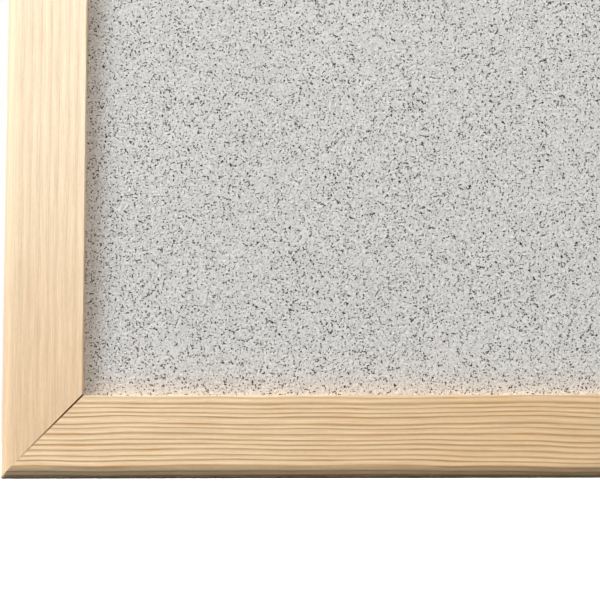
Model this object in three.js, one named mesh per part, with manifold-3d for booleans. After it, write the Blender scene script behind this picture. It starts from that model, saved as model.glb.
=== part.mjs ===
// Cork notice board: a sheet of coloured cork on a soft pinning board, held with a hardboard back in
// the rebate of a mitred pine frame, with two ring hangers and two bumpers behind.
// Millimetres. +X runs along the board, +Z is up, the front faces -Y and the wall is at Y = 0.
// The origin is on the wall, midway between the two hooks that carry the rings.

import * as THREE from 'three';
import { mergeVertices } from 'three/addons/utils/BufferGeometryUtils.js';
import Module from 'manifold-3d';

const wasm = await Module();
wasm.setup();

// Overall size of the frame
const boardWidth = 600;
const boardHeight = 400;

// Frame moulding: a pine strip with a rounded outer edge and a rebate behind its inner edge
const railWidth = 30;
const rebateWidth = 8;
const lipDepth = 4;
const outerRound = 4.6;
const innerEase = 0.8;
const rearEase = 1;

// The mitres are tight at the outer corner and stand slightly open at the inner one
const mitreGapOuter = 0.05;
const mitreGapInner = 0.45;

// Sheets in the rebate, from the front to the back
const corkThickness = 3;
const coreThickness = 6;
const backThickness = 2.5;
const layerGap = 0.05;
const sheetClearance = 0.5;
const backRecess = 2.35;

// Corner nails: V-shaped strips driven across each mitre from behind
const nailThickness = 0.5;
const nailLeg = 4;
const nailHeight = 10;
const nailSink = 0.5;
const nailHalfAngle = 50;
const nailPlaceShares = [0.28, 0.62];
const nailNames = ['outer', 'inner'];

// Retaining points: flat steel tabs driven into the rebate's wall, lying on the back panel
const tabThickness = 0.5;
const tabWidth = 5;
const tabLength = 15;
const tabTip = 2.5;
const tabBite = 6;
const railTabShares = [-0.375, -0.125, 0.125, 0.375];
const stileTabShares = [-0.25, 0.25];

// Hanger strap: steel strip folded double round the ring's bar and screwed to the stile
const strapThickness = 1;
const strapWidth = 10;
const strapSeam = 0.1;
const strapFoldAngle = 55;
const strapTail = 6;
const hangerDrop = 80;

// Hanger ring: a D bent from round wire, its ends meeting inside the strap's fold
const wireDiameter = 2;
const ringDepth = 14;
const ringCorner = 2.2;
const ringSideClearance = 1.3;
const ringButtGap = 0.3;
const ringRestGap = 0.3;
const loopClearance = 0.15;

// Hanger screws: pan-head wood screws with a cross recess
const screwDiameter = 3;
const screwLength = 12;
const screwTip = 2.6;
const screwHeadDiameter = 6;
const screwHeadHeight = 1.9;
const screwHeadEdge = 0.7;
const screwSeat = 0.05;
const screwSpacing = 12;
const recessSpan = 3.2;
const recessWidth = 0.8;
const recessDepth = 1.2;

// Wall bumpers: soft round pads that keep the lower edge off the wall
const bumperDiameter = 10;
const bumperFlatDiameter = 6;
const bumperSkirt = 1;
const bumperInset = 40;
const wallClearance = 0.7;

// Fit of every fastener in its pocket, and how far a cutter runs past a face
const fastenerClearance = 0.1;
const cutOverrun = 1;

// Facets on curved surfaces
const arcSegments = 6;
const roundSegments = 32;
const ringSides = 6;
const ringSteps = 72;

// Depths behind the frame's front face
const corkFront = lipDepth + layerGap;
const coreFront = corkFront + corkThickness + layerGap;
const backFront = coreFront + coreThickness + layerGap;
const backRear = backFront + backThickness;
const railThickness = backRear + backRecess;

// Heights of the hanger above the frame's rear face
const wireRadius = wireDiameter / 2;
const loopBore = wireRadius + loopClearance;
const loopHeight = strapThickness + loopBore;
const upperLeafHeight = strapThickness + strapSeam;
const strapTop = upperLeafHeight + strapThickness;
const bumperHeight = 2 * loopHeight + wallClearance;

// Depth places along Y: the wall is at zero
const rearY = -bumperHeight;
const frontY = rearY - railThickness;

// Ring sizes that follow the strap
const ringHalfWidth = strapWidth / 2 + ringSideClearance + ringCorner;
const ringLeg = ringDepth - ringHalfWidth;
const ringRestTilt = Math.asin((strapTop + wireRadius + ringRestGap - loopHeight) / ringDepth);

// Heights along Z: a hook bears on the inside of the raised ring at zero
const hangerZ = wireRadius - ringDepth;
const topZ = hangerZ + hangerDrop;
const bottomZ = topZ - boardHeight;
const middleZ = (topZ + bottomZ) / 2;

// Places on the back of the frame
const rearFaceWidth = railWidth - rebateWidth;
const hangerX = boardWidth / 2 - rearFaceWidth / 2;
const bumperX = boardWidth / 2 - bumperInset;
const bumperZ = bottomZ + rearFaceWidth / 2;
const upperScrewDrop = ringDepth + wireRadius + ringRestGap + screwHeadDiameter / 2 + strapThickness;
const lowerScrewDrop = upperScrewDrop + screwSpacing;
const strapLength = lowerScrewDrop + strapTail;

// The corner of the rebate, measured inwards from the frame's outer edges
const sheetWidth = boardWidth - 2 * (rearFaceWidth + sheetClearance);
const sheetHeight = boardHeight - 2 * (rearFaceWidth + sheetClearance);

const finish = (color, roughness, metalness) => new THREE.MeshStandardMaterial({ color, roughness, metalness });

const pine = finish(0xe8c592, 0.55, 0);
const greyCork = finish(0xcfccc7, 0.9, 0);
const softboard = finish(0xb49a78, 0.95, 0);
const hardboard = finish(0x6f4a2e, 0.7, 0);
const bareSteel = finish(0x8e9092, 0.45, 0.9);
const zincPlate = finish(0xb9bcc0, 0.35, 0.9);
const softRubber = finish(0x2b2b2d, 0.8, 0);

// Booleans work on solids with shared vertices
function toSolid(geometry) {
  const bare = geometry.clone();
  bare.deleteAttribute('normal');
  bare.deleteAttribute('uv');
  const merged = mergeVertices(bare);
  const vertProperties = new Float32Array(merged.attributes.position.array);
  const triVerts = new Uint32Array(merged.index.array);
  return new wasm.Manifold(new wasm.Mesh({ numProp: 3, vertProperties, triVerts }));
}

function toGeometry(solid) {
  const mesh = solid.getMesh();
  const geometry = new THREE.BufferGeometry();
  geometry.setAttribute('position', new THREE.BufferAttribute(mesh.vertProperties, mesh.numProp));
  geometry.setIndex(new THREE.BufferAttribute(mesh.triVerts, 1));
  const faceted = geometry.toNonIndexed();
  faceted.computeVertexNormals();
  return faceted;
}

function subtract(geometry, cutters) {
  let solid = toSolid(geometry);
  for (const cutter of cutters) {
    solid = solid.subtract(toSolid(cutter));
  }
  return toGeometry(solid);
}

// A section drawn as (z, y) and drawn out along X, centred on X = 0
const sectionPoint = (z, y) => new THREE.Vector2(-z, y);

function drawAlongX(shape, length) {
  const geometry = new THREE.ExtrudeGeometry(shape, {
    depth: length,
    bevelEnabled: false,
    curveSegments: arcSegments,
  });
  geometry.rotateY(Math.PI / 2);
  geometry.translate(-length / 2, 0, 0);
  return geometry;
}

// An outline in the XZ plane, drawn towards the front from a given Y
function drawToFront(shape, startY, depth) {
  const geometry = new THREE.ExtrudeGeometry(shape, {
    depth,
    bevelEnabled: false,
    curveSegments: arcSegments,
  });
  geometry.rotateX(Math.PI / 2);
  geometry.translate(0, startY, 0);
  return geometry;
}

// The outline of a bent strip, from its centreline and thickness
function stripOutline(centreline, thickness) {
  const left = [];
  const right = [];
  centreline.forEach((point, i) => {
    const before = centreline[Math.max(i - 1, 0)];
    const after = centreline[Math.min(i + 1, centreline.length - 1)];
    const incoming = (i > 0 ? point.clone().sub(before) : after.clone().sub(point)).normalize();
    const outgoing = (i < centreline.length - 1 ? after.clone().sub(point) : incoming.clone()).normalize();
    const bisector = incoming.clone().add(outgoing).normalize();
    const normal = new THREE.Vector2(-bisector.y, bisector.x);
    const reach = thickness / 2 / bisector.dot(incoming);
    left.push(point.clone().addScaledVector(normal, reach));
    right.push(point.clone().addScaledVector(normal, -reach));
  });
  return new THREE.Shape([...left, ...right.reverse()]);
}

// The moulding's section: u runs inwards from the outer edge, v runs back from the front face
function mouldingShape() {
  const shape = new THREE.Shape();
  const rebateWall = railWidth - rebateWidth;
  shape.moveTo(...sectionPoint(0, outerRound));
  shape.absarc(-outerRound, outerRound, outerRound, 0, -Math.PI / 2, true);
  shape.lineTo(...sectionPoint(railWidth - innerEase, 0));
  shape.absarc(innerEase - railWidth, innerEase, innerEase, -Math.PI / 2, -Math.PI, true);
  shape.lineTo(...sectionPoint(railWidth, lipDepth));
  shape.lineTo(...sectionPoint(rebateWall, lipDepth));
  shape.lineTo(...sectionPoint(rebateWall, railThickness));
  shape.lineTo(...sectionPoint(rearEase, railThickness));
  shape.absarc(-rearEase, railThickness - rearEase, rearEase, Math.PI / 2, 0, true);
  shape.closePath();
  return shape;
}

// A length of moulding along X, its outer edge at Z = 0 and its ends mitred
function mitredRail(length) {
  const geometry = drawAlongX(mouldingShape(), length);
  const position = geometry.attributes.position;
  for (let i = 0; i < position.count; i += 1) {
    const inwards = position.getZ(i);
    const gap = THREE.MathUtils.lerp(mitreGapOuter, mitreGapInner, inwards / railWidth);
    const setBack = inwards + (gap / 2) * Math.SQRT2;
    position.setX(i, Math.sign(position.getX(i)) * (length / 2 - setBack));
  }
  geometry.computeVertexNormals();
  return geometry;
}

// Corner nail: its point is on the mitre and a leg runs into each rail; grow makes its pocket
function cornerNail(grow) {
  const halfAngle = THREE.MathUtils.degToRad(nailHalfAngle);
  const leg = nailLeg + grow;
  const across = leg * Math.sin(halfAngle);
  const along = leg * Math.cos(halfAngle);
  const centreline = [
    new THREE.Vector2(-across, along),
    new THREE.Vector2(0, 0),
    new THREE.Vector2(across, along),
  ];
  return stripOutline(centreline, nailThickness + 2 * grow);
}

const nailBody = () => drawToFront(cornerNail(0), -nailSink, nailHeight);
const nailPocket = () => {
  const depth = cutOverrun + nailSink + nailHeight + fastenerClearance;
  return drawToFront(cornerNail(fastenerClearance), cutOverrun, depth);
};

// Retaining point: its sharp end runs into the wood towards -Z from the rebate's wall
function tabShape(grow) {
  const half = tabWidth / 2 + grow;
  const shape = new THREE.Shape();
  shape.moveTo(-half, tabLength - tabBite + grow);
  shape.lineTo(-half, tabTip - tabBite);
  shape.lineTo(0, -tabBite - grow);
  shape.lineTo(half, tabTip - tabBite);
  shape.lineTo(half, tabLength - tabBite + grow);
  shape.closePath();
  return shape;
}

const tabBody = () => drawToFront(tabShape(0), tabThickness, tabThickness);
const tabPocket = () => {
  const start = tabThickness + fastenerClearance;
  return drawToFront(tabShape(fastenerClearance), start, tabThickness + 2 * fastenerClearance);
};

// Hanger screw: it stands along Y with its head towards the wall, the strap's top at Y = 0
function screwBody() {
  const headRadius = screwHeadDiameter / 2;
  const shankRadius = screwDiameter / 2;
  const outline = new THREE.Path();
  outline.moveTo(0, -screwLength);
  outline.lineTo(shankRadius, screwTip - screwLength);
  outline.lineTo(shankRadius, screwSeat);
  outline.lineTo(headRadius, screwSeat);
  outline.lineTo(headRadius, screwSeat + screwHeadEdge);
  outline.quadraticCurveTo(headRadius, screwHeadHeight, recessSpan / 2, screwHeadHeight);
  outline.lineTo(0, screwHeadHeight);
  const turned = new THREE.LatheGeometry(outline.getPoints(arcSegments), roundSegments);
  const recessLength = recessDepth + cutOverrun;
  const slot = new THREE.BoxGeometry(recessSpan, recessLength, recessWidth);
  slot.translate(0, screwHeadHeight - recessDepth + recessLength / 2, 0);
  const crossSlot = slot.clone().rotateY(Math.PI / 2);
  return subtract(turned, [slot, crossSlot]);
}

function screwPocket() {
  const depth = screwLength + fastenerClearance + cutOverrun;
  const radius = screwDiameter / 2 + fastenerClearance;
  const pocket = new THREE.CylinderGeometry(radius, radius, depth, roundSegments);
  return pocket.translate(0, cutOverrun - depth / 2, 0);
}

// Strap: the lower leaf lies on the stile, the fold goes over the ring's bar and the upper leaf returns
function strapCentreline() {
  const bend = loopBore + strapThickness / 2;
  const lowerLeaf = strapThickness / 2;
  const upperLeaf = upperLeafHeight + strapThickness / 2;
  const endAngle = THREE.MathUtils.degToRad(90 + strapFoldAngle);
  const points = [sectionPoint(-strapLength, lowerLeaf)];
  const steps = 4 * arcSegments;
  for (let i = 0; i <= steps; i += 1) {
    const angle = THREE.MathUtils.lerp(-Math.PI / 2, endAngle, i / steps);
    points.push(sectionPoint(bend * Math.cos(angle), loopHeight + bend * Math.sin(angle)));
  }
  const foldEndY = loopHeight + bend * Math.sin(endAngle);
  const foldEndZ = bend * Math.cos(endAngle);
  const run = (foldEndY - upperLeaf) / Math.tan(THREE.MathUtils.degToRad(strapFoldAngle));
  points.push(sectionPoint(foldEndZ - run, upperLeaf));
  points.push(sectionPoint(-strapLength, upperLeaf));
  return points;
}

function strapPlan() {
  const half = strapWidth / 2;
  const shape = new THREE.Shape();
  const top = loopHeight + cutOverrun;
  shape.moveTo(-half, top);
  shape.absarc(0, half - strapLength, half, Math.PI, 2 * Math.PI, false);
  shape.lineTo(half, top);
  shape.closePath();
  return shape;
}

function strapBody() {
  const folded = toSolid(drawAlongX(stripOutline(strapCentreline(), strapThickness), strapWidth));
  const reach = 2 * loopHeight + 2 * cutOverrun;
  const plan = toSolid(drawToFront(strapPlan(), 2 * loopHeight + cutOverrun, reach));
  const holes = [upperScrewDrop, lowerScrewDrop].map((drop) => {
    const radius = screwDiameter / 2 + fastenerClearance;
    const drill = new THREE.CylinderGeometry(radius, radius, reach, roundSegments);
    return drill.translate(0, loopHeight, -drop);
  });
  return subtract(toGeometry(folded.intersect(plan)), holes);
}

// Ring: a path in the XZ plane that hangs below the bar, open where the wire's ends meet
class RingPath extends THREE.Curve {
  constructor() {
    super();
    const bar = ringHalfWidth - ringCorner;
    this.outline = new THREE.Path();
    this.outline.moveTo(ringButtGap / 2, 0);
    this.outline.lineTo(bar, 0);
    this.outline.absarc(bar, -ringCorner, ringCorner, Math.PI / 2, 0, true);
    this.outline.lineTo(ringHalfWidth, -ringLeg);
    this.outline.absarc(0, -ringLeg, ringHalfWidth, 0, -Math.PI, true);
    this.outline.lineTo(-ringHalfWidth, -ringCorner);
    this.outline.absarc(-bar, -ringCorner, ringCorner, Math.PI, Math.PI / 2, true);
    this.outline.lineTo(-ringButtGap / 2, 0);
  }

  getPoint(t, target = new THREE.Vector3()) {
    const flat = this.outline.getPointAt(t);
    return target.set(flat.x, 0, flat.y);
  }
}

function ringBody() {
  const section = new THREE.Shape().absarc(0, 0, wireRadius, 0, 2 * Math.PI, false);
  return new THREE.ExtrudeGeometry(section, {
    steps: ringSteps,
    curveSegments: ringSides,
    extrudePath: new RingPath(),
  });
}

// Bumper: it stands along Y on the rail's rear face, and its flat end meets the wall
function bumperBody() {
  const radius = bumperDiameter / 2;
  const flatRadius = bumperFlatDiameter / 2;
  const outline = new THREE.Path();
  outline.moveTo(0, 0);
  outline.lineTo(radius, 0);
  outline.lineTo(radius, bumperSkirt);
  outline.quadraticCurveTo(radius, bumperHeight, flatRadius, bumperHeight);
  outline.lineTo(0, bumperHeight);
  return new THREE.LatheGeometry(outline.getPoints(arcSegments), roundSegments);
}

function sheetBody(thickness) {
  return new THREE.BoxGeometry(sheetWidth, thickness, sheetHeight);
}

const board = new THREE.Group();
const pockets = [];

function addPiece(name, geometry, material, parent) {
  const piece = new THREE.Mesh(geometry, material);
  piece.name = name;
  parent.add(piece);
  return piece;
}

// A fastener's pocket is kept in the board's own frame, so that any rail can be cut by it
function addFastener(name, geometry, material, place, pocket) {
  addPiece(name, geometry, material, place);
  place.updateWorldMatrix(true, false);
  pockets.push(pocket.applyMatrix4(place.matrixWorld));
}

// The frame's four sides: the turn about Y that lays each one out, and the middle of its outer edge
const sides = [
  { name: 'bottom_rail', turn: 0, x: 0, z: bottomZ, length: boardWidth, tabs: railTabShares },
  { name: 'right_stile', turn: -90, x: boardWidth / 2, z: middleZ, length: boardHeight, tabs: stileTabShares },
  { name: 'top_rail', turn: 180, x: 0, z: topZ, length: boardWidth, tabs: railTabShares },
  { name: 'left_stile', turn: 90, x: -boardWidth / 2, z: middleZ, length: boardHeight, tabs: stileTabShares },
];

for (const side of sides) {
  side.place = new THREE.Group();
  side.place.position.set(side.x, frontY, side.z);
  side.place.rotation.y = THREE.MathUtils.degToRad(side.turn);
  board.add(side.place);
  side.tabs.forEach((share, i) => {
    const spot = new THREE.Group();
    spot.position.set(share * side.length, backRear + layerGap, rearFaceWidth);
    side.place.add(spot);
    addFastener(`${side.name}_point_${i + 1}`, tabBody(), bareSteel, spot, tabPocket());
  });
}

// Two nails across each mitre, their points towards the outer corner
const corners = [
  { name: 'bottom_left', x: -1, z: -1 },
  { name: 'bottom_right', x: 1, z: -1 },
  { name: 'top_right', x: 1, z: 1 },
  { name: 'top_left', x: -1, z: 1 },
];

for (const corner of corners) {
  nailPlaceShares.forEach((share, i) => {
    const inset = share * rearFaceWidth;
    const spot = new THREE.Group();
    const x = corner.x * (boardWidth / 2 - inset);
    const z = middleZ + corner.z * (boardHeight / 2 - inset);
    spot.position.set(x, rearY, z);
    spot.rotation.y = Math.atan2(-corner.x, -corner.z);
    board.add(spot);
    addFastener(`${corner.name}_nail_${nailNames[i]}`, nailBody(), bareSteel, spot, nailPocket());
  });
}

// Hangers on the two stiles
for (const [hand, direction] of [['left', -1], ['right', 1]]) {
  const hanger = new THREE.Group();
  hanger.position.set(direction * hangerX, rearY, hangerZ);
  board.add(hanger);
  addPiece(`${hand}_hanger_strap`, strapBody(), zincPlate, hanger);

  const ring = addPiece(`${hand}_hanger_ring`, ringBody(), zincPlate, hanger);
  ring.position.y = loopHeight;
  ring.rotation.x = ringRestTilt;

  for (const [level, drop] of [['upper', upperScrewDrop], ['lower', lowerScrewDrop]]) {
    const spot = new THREE.Group();
    spot.position.set(0, strapTop, -drop);
    hanger.add(spot);
    addFastener(`${hand}_hanger_screw_${level}`, screwBody(), zincPlate, spot, screwPocket());
  }

  const bumper = addPiece(`${hand}_bumper`, bumperBody(), softRubber, board);
  bumper.position.set(direction * bumperX, rearY, bumperZ);
}

// Each side of the frame is cut by whatever fasteners reach it
for (const side of sides) {
  side.place.updateWorldMatrix(true, false);
  const toSide = side.place.matrixWorld.clone().invert();
  const cutters = pockets.map((pocket) => pocket.clone().applyMatrix4(toSide));
  addPiece(side.name, subtract(mitredRail(side.length), cutters), pine, side.place);
}

// The three sheets lie in the rebate, one behind another
const sheets = [
  { name: 'cork_sheet', front: corkFront, thickness: corkThickness, material: greyCork },
  { name: 'softboard_core', front: coreFront, thickness: coreThickness, material: softboard },
  { name: 'back_panel', front: backFront, thickness: backThickness, material: hardboard },
];

for (const sheet of sheets) {
  const piece = addPiece(sheet.name, sheetBody(sheet.thickness), sheet.material, board);
  piece.position.set(0, frontY + sheet.front + sheet.thickness / 2, middleZ);
}

export default board;
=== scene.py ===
import math
import random

import bmesh
import bpy
from mathutils import Matrix, Vector, noise


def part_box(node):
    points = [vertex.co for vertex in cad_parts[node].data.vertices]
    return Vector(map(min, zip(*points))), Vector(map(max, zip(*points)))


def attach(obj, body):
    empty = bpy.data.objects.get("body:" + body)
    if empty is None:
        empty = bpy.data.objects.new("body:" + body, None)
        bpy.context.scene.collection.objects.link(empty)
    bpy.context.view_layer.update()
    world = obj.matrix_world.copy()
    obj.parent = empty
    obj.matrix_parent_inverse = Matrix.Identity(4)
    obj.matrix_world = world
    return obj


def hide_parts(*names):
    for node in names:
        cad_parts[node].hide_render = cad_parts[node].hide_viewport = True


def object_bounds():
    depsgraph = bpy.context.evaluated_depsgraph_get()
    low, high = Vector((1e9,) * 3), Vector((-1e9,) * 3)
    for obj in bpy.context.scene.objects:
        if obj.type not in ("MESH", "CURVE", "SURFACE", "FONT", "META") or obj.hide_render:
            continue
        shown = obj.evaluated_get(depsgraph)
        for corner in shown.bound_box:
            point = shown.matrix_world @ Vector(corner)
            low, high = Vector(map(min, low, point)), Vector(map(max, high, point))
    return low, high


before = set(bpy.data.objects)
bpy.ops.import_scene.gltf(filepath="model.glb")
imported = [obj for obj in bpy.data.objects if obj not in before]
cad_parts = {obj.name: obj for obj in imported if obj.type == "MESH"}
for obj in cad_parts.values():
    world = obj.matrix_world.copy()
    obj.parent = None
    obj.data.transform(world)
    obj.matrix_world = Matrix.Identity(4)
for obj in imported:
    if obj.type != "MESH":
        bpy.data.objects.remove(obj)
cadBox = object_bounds()

mm = 0.001  # every size below is in millimetres
smoothAngle = 35  # degrees; edges that turn by less are shaded smooth
noiseSpread = (0.3, 0.7)  # where most of a noise texture's values lie
upright = Matrix.Identity(3)
hands = {"left": -1, "right": 1}


# an sRGB hex colour as the linear colour that a shader takes
def hexColor(text):
    channels = [int(text[i:i + 2], 16) / 255 for i in (1, 3, 5)]
    linear = [c / 12.92 if c <= 0.04045 else ((c + 0.055) / 1.055) ** 2.4 for c in channels]
    return (*linear, 1.0)


# one shader node with its settings, its inputs and a ramp's stops. An input is a value, a hex colour, a
# socket, or a node, which stands for its first output in use, and inputs named together take one value
# each. Most inputs go by number: 6 and 7 are a Mix node's colours, 1 and 2 the range that a Map Range node
# reads, and 3 and 4 the range that it writes
def addNode(tree, kind, inputs=None, stops=None, **settings):
    node = tree.nodes.new("ShaderNode" + kind)
    for name, value in settings.items():
        setattr(node, name, value)
    for key, value in (inputs or {}).items():
        if isinstance(value, bpy.types.Node):
            value = next(output for output in value.outputs if output.enabled)
        if isinstance(value, bpy.types.NodeSocket):
            tree.links.new(value, node.inputs[key])
        elif isinstance(key, tuple):
            for part, number in zip(key, value):
                node.inputs[part].default_value = number
        else:
            node.inputs[key].default_value = hexColor(value) if isinstance(value, str) else value
    if stops:
        elements = node.color_ramp.elements
        elements[0].position, elements[1].position = stops[0][0], stops[-1][0]
        for place, level in stops[1:-1]:
            elements.new(place)
        for element, (place, level) in zip(elements, stops):
            element.color = hexColor(level) if isinstance(level, str) else (level, level, level, 1)
    return node


def startMaterial(name):
    material = bpy.data.materials.new(name)
    material.use_nodes = True
    material.node_tree.nodes.clear()
    return material, material.node_tree


# what ends every material: the relief of its height pattern, the shader and the output
def endMaterial(material, height, relief, inputs, strength=1.0):
    tree = material.node_tree
    bump = addNode(tree, "Bump", {"Strength": strength, "Distance": relief * mm, "Height": height})
    shader = addNode(tree, "BsdfPrincipled", {"Normal": bump, **inputs})
    addNode(tree, "OutputMaterial", {0: shader})
    return material


# the object's own coordinates in millimetres
def millimetres(tree):
    coords = addNode(tree, "TexCoord")
    return addNode(tree, "VectorMath", {0: coords.outputs["Object"], 3: 1 / mm}, operation="SCALE")


# a noise pattern with marks of the given sizes along three axes; its place tells it from other patterns
def markPattern(tree, at, sizes, place=(0, 0, 0), turn=(0, 0, 0), detail=2.0, roughness=0.5,
                distortion=0.0):
    moved = addNode(tree, "Mapping", {"Vector": at, "Location": place, "Rotation": turn,
                                      "Scale": [1 / size for size in sizes]})
    return addNode(tree, "TexNoise", {"Vector": moved, "Scale": 1.0, "Detail": detail,
                                      "Roughness": roughness, "Distortion": distortion})


def lerp(a, b, share):
    return a + (b - a) * share


def rotation(degrees, axis="Y"):
    return Matrix.Rotation(math.radians(degrees), 3, axis)


# an object in the scene with the given data
def newObject(name, data):
    item = bpy.data.objects.new(name, data)
    bpy.context.scene.collection.objects.link(item)
    return item


# an object with a mesh whose places are in millimetres
def newMeshObject(name, meshName, vertices, faces):
    mesh = bpy.data.meshes.new(meshName)
    mesh.from_pydata([Vector(v) * mm for v in vertices], [], faces)
    return newObject(name, mesh)


# camera: a portrait lens from slightly below, fitted to the four edges that the photograph shows
camera = {
    "lens": 85.0,
    "place": (-187.2, -536.1, -313.8),
    "turnLeft": 0.43,
    "tiltUp": 5.05,
    "roll": -0.12,
    "clipStart": 10.0,
}

cameraData = bpy.data.cameras.new("photoCamera")
cameraData.lens = camera["lens"]
cameraData.clip_start = camera["clipStart"] * mm
cameraObject = newObject("photoCamera", cameraData)
cameraTurn = rotation(camera["turnLeft"], "Z") @ rotation(90 + camera["tiltUp"], "X")
cameraTurn = (cameraTurn @ rotation(camera["roll"], "Z")).to_4x4()
cameraObject.matrix_world = Matrix.Translation(Vector(camera["place"]) * mm) @ cameraTurn
bpy.context.scene.camera = cameraObject
print("stage: camera")

# studio: a soft key high on the left with a second box raking in below it, weaker boxes near the lens and
# on the right that fill their shadows, two boxes that are only seen as sheen on the wood, two lamps for
# the back, and a plain pale floor
studio = {
    "aim": (-180, -20, -270),
    "softboxes": {
        "keyBox": {"place": (-1380, -866, 1648), "size": 1215, "power": 58.5},
        "lowBox": {"place": (-2514, -980, 1074), "size": 1080, "power": 35.0},
        "frontBox": {"place": (-393, -2640, 1020), "size": 1050, "power": 25.8},
        "sideBox": {"place": (1652, -1246, 600), "size": 1110, "power": 18.8},
        "sheenBox": {"place": (-750, -1685, 1185), "size": 1050, "power": 62.0},
        "edgeBox": {"place": (-1635, -710, 1305), "size": 750, "power": 37.0},
        "backBox": {"place": (700, 1500, 700), "size": 1200, "power": 22.0},
        "backFill": {"place": (-700, 1500, 250), "size": 900, "power": 6.5},
    },
    "sheenOnly": ("sheenBox", "edgeBox"),
    "skyTop": "#dfe3e8",
    "skyLow": "#3c3a38",
    "skyHeights": (-0.5, 0.6),
    "skyStrength": 0.12,
    "floorSize": 4000,
    "floorFade": (700, 1500),
    "floorBounce": "#302e2b",  # its colour for the light that it throws back
    "floorShown": 1.9,  # its brightness where it is seen
}

for name, box in studio["softboxes"].items():
    lampData = bpy.data.lights.new(name, "AREA")
    lampData.shape = "DISK"
    lampData.size = box["size"] * mm
    lampData.energy = box["power"]
    lamp = newObject(name, lampData)
    lamp.visible_diffuse = name not in studio["sheenOnly"]
    lamp.location = Vector(box["place"]) * mm
    lamp.rotation_euler = (Vector(studio["aim"]) * mm - lamp.location).to_track_quat("-Z", "Y").to_euler()


# 1 for the rays that show the background: straight, mirrored or through something clear
def shownRays(tree):
    path = addNode(tree, "LightPath")
    mirrored = addNode(tree, "Math", {0: path.outputs["Is Camera Ray"],
                                      1: path.outputs["Is Glossy Ray"]}, operation="MAXIMUM")
    return addNode(tree, "Math", {0: mirrored, 1: path.outputs["Is Transmission Ray"]}, operation="MAXIMUM")


def makeWorld():
    world = bpy.data.worlds.new("studioWorld")
    bpy.context.scene.world = world
    world.use_nodes = True
    tree = world.node_tree
    tree.nodes.clear()
    coords = addNode(tree, "TexCoord")
    axes = addNode(tree, "SeparateXYZ", {0: coords.outputs["Generated"]})
    share = addNode(tree, "MapRange", {0: axes.outputs["Z"], (1, 2): studio["skyHeights"]})
    sky = addNode(tree, "Mix", {0: share, 6: studio["skyLow"], 7: studio["skyTop"]}, data_type="RGBA")
    soft = addNode(tree, "Background", {0: sky, 1: studio["skyStrength"]})
    white = addNode(tree, "Background", {0: "#ffffff", 1: 1.0})
    choice = addNode(tree, "MixShader", {0: shownRays(tree), 1: soft, 2: white})
    addNode(tree, "OutputWorld", {0: choice})


def makeFloor():
    floorMaterial, tree = startMaterial("paleFloor")
    lift = studio["floorShown"]
    shown = addNode(tree, "BsdfDiffuse", {0: (lift, lift, lift, 1)})
    bounce = addNode(tree, "BsdfDiffuse", {0: studio["floorBounce"]})
    choice = addNode(tree, "MixShader", {0: shownRays(tree), 1: bounce, 2: shown})
    coords = addNode(tree, "TexCoord")
    away = addNode(tree, "VectorMath", {0: coords.outputs["Object"]}, operation="LENGTH")
    faded = addNode(tree, "MapRange", {0: away, (1, 2): [d * mm for d in studio["floorFade"]]},
                    interpolation_type="SMOOTHSTEP")
    clear = addNode(tree, "BsdfTransparent")
    fading = addNode(tree, "MixShader", {0: faded, 1: choice, 2: clear})
    addNode(tree, "OutputMaterial", {0: fading})
    half, z = studio["floorSize"] / 2, cadBox[0][2] / mm
    corners = [(-half, -half, z), (half, -half, z), (half, half, z), (-half, half, z)]
    floor = newMeshObject("floor", "floor", corners, [(0, 1, 2, 3)])
    floor.data.materials.append(floorMaterial)


makeWorld()
makeFloor()
bpy.context.scene.view_settings.view_transform = "Standard"
print("stage: studio")


# a mesh in millimetres becomes a piece on its body, standing for one CAD node
def addPiece(name, solid, material, body, crease=smoothAngle):
    piece = newMeshObject(name + "_detailed", name + "_mesh", *solid)
    piece.data.validate()
    piece.data.materials.append(material)
    faceOutwards(piece)
    smoothen(piece, crease)
    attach(piece, body)
    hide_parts(name)
    return piece


# faces that look outwards, whatever order the outline was drawn in, with the ends in triangles
def faceOutwards(piece):
    mesh = bmesh.new()
    mesh.from_mesh(piece.data)
    bmesh.ops.triangulate(mesh, faces=[f for f in mesh.faces if len(f.verts) > 4])
    bmesh.ops.recalc_face_normals(mesh, faces=mesh.faces)
    mesh.to_mesh(piece.data)
    mesh.free()


def smoothen(piece, crease):
    piece.data.shade_smooth()
    piece.data.set_sharp_from_angle(angle=math.radians(crease))


def applyModifier(piece, modifier, crease):
    bpy.context.view_layer.objects.active = piece
    bpy.ops.object.modifier_apply(modifier=modifier.name)
    smoothen(piece, crease)


# the faces of a sleeve of equal outlines, closed at both ends
def sleeveFaces(count, levels):
    faces = [tuple(reversed(range(count)))]
    for start in range(0, (levels - 1) * count, count):
        for i in range(count):
            j = (i + 1) % count
            faces.append((start + i, start + j, start + count + j, start + count + i))
    faces.append(tuple(range((levels - 1) * count, levels * count)))
    return faces


# an outline in x and z drawn out through levels along y, then turned and put in its place
def prism(outline, levels, base, turn=upright):
    vertices = [base + turn @ Vector((x, level, z)) for level in levels for x, z in outline]
    return vertices, sleeveFaces(len(outline), len(levels))


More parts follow.
